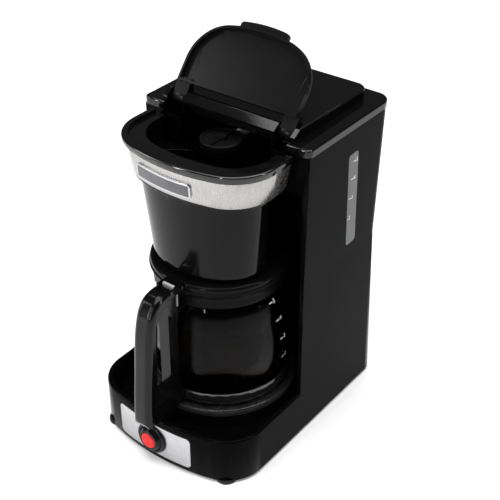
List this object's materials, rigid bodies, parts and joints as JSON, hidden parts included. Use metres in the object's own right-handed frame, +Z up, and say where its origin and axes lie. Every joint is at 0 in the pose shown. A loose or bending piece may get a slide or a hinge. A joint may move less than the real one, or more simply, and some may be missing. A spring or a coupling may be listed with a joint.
{
  "type": "drip coffee maker",
  "caption": "Drip coffee maker with an open hinged lid, brew head with a brushed band, rear water tank and a glass carafe on a warming plate.",
  "frame": {"origin": "on the table, under the middle of the machine", "axes": "+X to the machine's right, +Y to its back, +Z up"},
  "size_m": [0.165, 0.2421, 0.3461],
  "materials": {
    "black_shell": "glossy",
    "black_satin": "satin",
    "brushed_steel": "vertical brushing",
    "trim_grey": "satin",
    "badge_grey": "satin",
    "button_red": "translucent, lit",
    "clear_window": "frosted, translucent",
    "clear_glass": "clear",
    "plate_black": "non-stick coating",
    "dark_rubber": "matte",
    "silicone_white": "matte",
    "aluminium_cast": "cast",
    "bright_steel": "satin",
    "white_plastic": "satin",
    "fuse_sleeve": "satin"
  },
  "bodies": {
    "machine": {"body_housing": "black_shell", "base_cover": "black_satin", "rubber_feet": "dark_rubber", "base_screws": "bright_steel", "front_trim_plate": "trim_grey", "switch_bezel": "black_shell", "switch_body": "black_satin", "plate_gasket": "dark_rubber", "warming_plate": "plate_black", "heating_element": "aluminium_cast", "element_bracket": "bright_steel", "thermostat": "white_plastic", "thermal_fuse": "fuse_sleeve", "inlet_hose": "silicone_white", "riser_hose": "silicone_white", "check_valve": "white_plastic", "cord_gland": "black_satin", "tank_shell": "black_shell", "water_window": "clear_window", "riser_tube": "white_plastic", "shower_head": "black_satin", "tank_cover": "black_shell", "hinge_pins": "bright_steel", "head_housing": "black_shell", "head_rim": "black_shell", "steel_band": "brushed_steel", "badge": "badge_grey"},
    "lid": {"lid": "black_shell"},
    "power_switch": {"power_button": "black_satin", "power_lens": "button_red"},
    "basket": {"brew_basket": "black_satin"},
    "drip_valve": {"drip_stop": "black_satin", "drip_seal": "silicone_white", "drip_spring": "bright_steel"},
    "carafe": {"carafe_glass": "clear_glass", "carafe_collar": "black_satin", "carafe_band": "bright_steel", "band_screw": "bright_steel", "carafe_handle": "black_shell", "carafe_lid_pin": "bright_steel"},
    "carafe_lid": {"carafe_lid": "black_shell"}
  },
  "joints": [
    {"name": "lid_hinge", "type": "hinge", "parent": "machine", "child": "lid", "pos_m": [0, 0.0085, 0.286], "axis": [-1, 0, 0], "range_deg": [-130, 0]},
    {"name": "power_press", "type": "slide", "parent": "machine", "child": "power_switch", "axis": [0, 1, 0], "range_m": [0, 0.002], "stiffness_N_per_m": 300},
    {"name": "basket_lift", "type": "slide", "parent": "machine", "child": "basket", "axis": [0, 0, 1], "range_m": [0, 0.015]},
    {"name": "drip_stop_push", "type": "slide", "parent": "basket", "child": "drip_valve", "axis": [0, 0, 1], "range_m": [0, 0.0025], "stiffness_N_per_m": 200, "springref_m": -0.002, "deforming": ["drip_spring"]},
    {"name": "carafe_slide", "type": "slide", "parent": "machine", "child": "carafe", "axis": [0, -1, 0], "range_m": [0, 0.14]},
    {"name": "carafe_lid_hinge", "type": "hinge", "parent": "carafe", "child": "carafe_lid", "pos_m": [0, -0.072, 0.1672], "axis": [1, 0, 0], "range_deg": [0, 3]}
  ]
}
